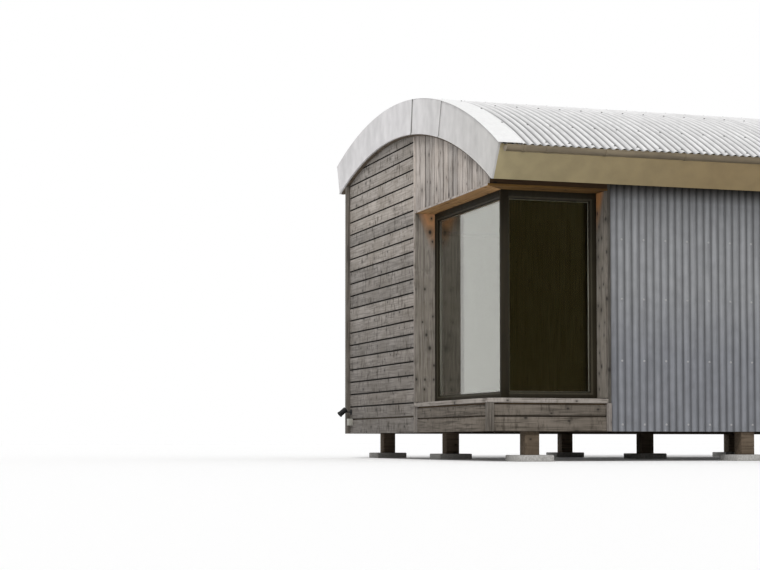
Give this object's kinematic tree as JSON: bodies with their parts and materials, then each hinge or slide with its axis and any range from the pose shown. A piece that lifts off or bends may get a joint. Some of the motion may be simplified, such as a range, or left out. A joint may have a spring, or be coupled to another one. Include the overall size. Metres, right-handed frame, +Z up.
{
  "type": "shepherds hut",
  "caption": "Raised timber hut with a lopsided curved corrugated roof, a full-height corner window, board-clad gables and corrugated long walls.",
  "frame": {"origin": "on the ground, under the middle of the hut's bounding box", "axes": "+X along the hut, away from the window gable; +Y from the low front eave to the high back eave; +Z up"},
  "size_m": [7.844, 5.4914, 3.7845],
  "materials": {
    "pad_concrete": "rough cast concrete",
    "foot_timber": "rough sawn, treated",
    "floor_boards": "oiled boards",
    "wall_core": "sheathed timber frame",
    "room_lining": "plain sheet boards",
    "roof_timber": "stained soffit boards",
    "galvanised_sheet": "weathered galvanised",
    "pale_metal": "pale folded sheet",
    "barge_metal": "plain zinc sheet",
    "fascia_metal": "plain sheet",
    "gutter_metal": "galvanised",
    "weathered_boards": "silvered larch",
    "sheltered_boards": "sheltered larch",
    "dark_frame": "satin",
    "window_glass": "clear, sealed unit",
    "wall_sheet": "weathered blue-grey galvanised",
    "lamp_metal": "satin black",
    "door_timber": "dark stain"
  },
  "bodies": {
    "root": {"ground_pads": "pad_concrete", "feet": "foot_timber", "floor_bearers": "foot_timber", "floor_joists": "foot_timber", "floor_rim": "foot_timber", "floor_deck": "floor_boards", "window_gable_wall": "wall_core", "window_gable_wall_over_window": "wall_core", "front_wall": "wall_core", "front_wall_over_window": "wall_core", "back_wall_by_corner": "wall_core", "back_wall_over_door": "wall_core", "back_wall": "wall_core", "far_gable_wall": "wall_core", "wall_lining": "room_lining", "ceiling_lining": "room_lining", "roof_deck": "roof_timber", "roof_sheet": "galvanised_sheet", "verge_flashings": "pale_metal", "window_gable_barge": "barge_metal", "far_gable_barge": "barge_metal", "front_fascia": "fascia_metal", "back_fascia": "fascia_metal", "front_gutter": "gutter_metal", "back_gutter": "gutter_metal", "gutter_brackets": "gutter_metal", "downpipes": "gutter_metal", "corner_lamp": "lamp_metal", "gable_level_boards": "weathered_boards", "gable_upright_boards": "weathered_boards", "window_apron_boards": "weathered_boards", "front_head_board": "sheltered_boards", "window_reveals": "sheltered_boards", "window_sill": "weathered_boards", "gable_window_frame": "dark_frame", "front_window_frame": "dark_frame", "window_corner_post": "dark_frame", "window_glass": "window_glass", "corner_trims": "weathered_boards", "front_corrugated_sheet": "wall_sheet", "back_corrugated_sheet": "wall_sheet", "back_upright_boards": "weathered_boards", "far_gable_boards": "weathered_boards", "door_lining_boards": "door_timber", "door_leaf": "door_timber"}
  },
  "joints": []
}
